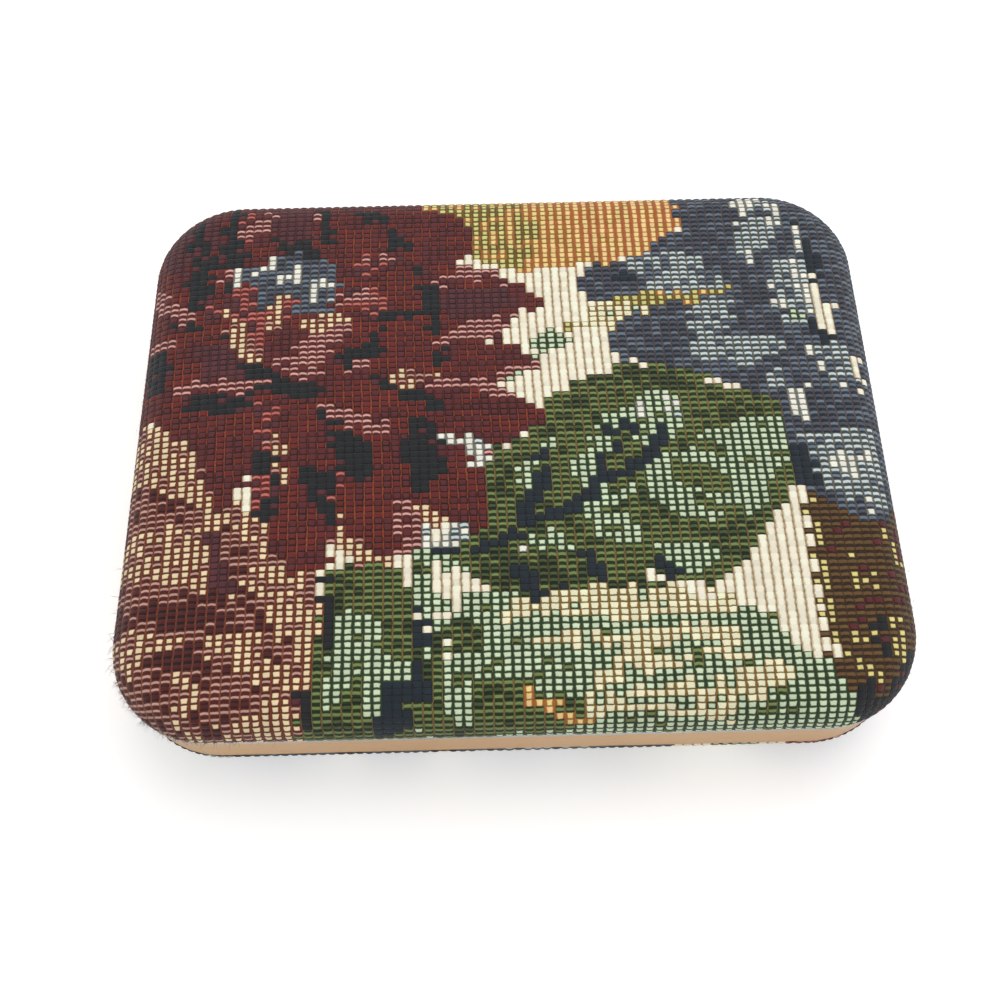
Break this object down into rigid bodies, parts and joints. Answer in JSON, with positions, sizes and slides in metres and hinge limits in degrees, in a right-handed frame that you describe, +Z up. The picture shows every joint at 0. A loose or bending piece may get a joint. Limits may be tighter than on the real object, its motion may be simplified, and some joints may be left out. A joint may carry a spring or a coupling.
{
  "type": "hinged keepsake box",
  "caption": "Flat rounded box with a padded hinged lid and a dished bottom, both covered in tapestry cloth, in two thin metal frames, with a lined inside and a raised neck.",
  "frame": {"origin": "centre of the flat face that the box stands on", "axes": "+Z up, +X along the long side, front at -Y, hinge at +Y"},
  "size_m": [0.108, 0.0871, 0.021],
  "materials": {
    "tapestry": "woven",
    "silver_rim": "satin",
    "tan_band": "satin",
    "pressed_board": "matte",
    "lining_card": "matte",
    "wadding": "matte",
    "lining_satin": "satin",
    "pin_steel": "drawn"
  },
  "bodies": {
    "base": {"base_frame": "tan_band", "base_shell": "pressed_board", "base_cloth": "tapestry", "base_wall_board": "lining_card", "base_wall_lining": "lining_satin", "base_floor_board": "lining_card", "base_floor_lining": "lining_satin", "hinge_pin": "pin_steel"},
    "lid": {"lid_frame": "silver_rim", "lid_shell": "pressed_board", "lid_wadding": "wadding", "lid_cloth": "tapestry", "lid_lining_board": "lining_card", "lid_lining": "lining_satin"}
  },
  "joints": [
    {"name": "lid_hinge", "type": "hinge", "parent": "base", "child": "lid", "pos_m": [0, 0.04365, 0.0145], "axis": [-1, 0, 0], "range_deg": [0, 110]}
  ]
}
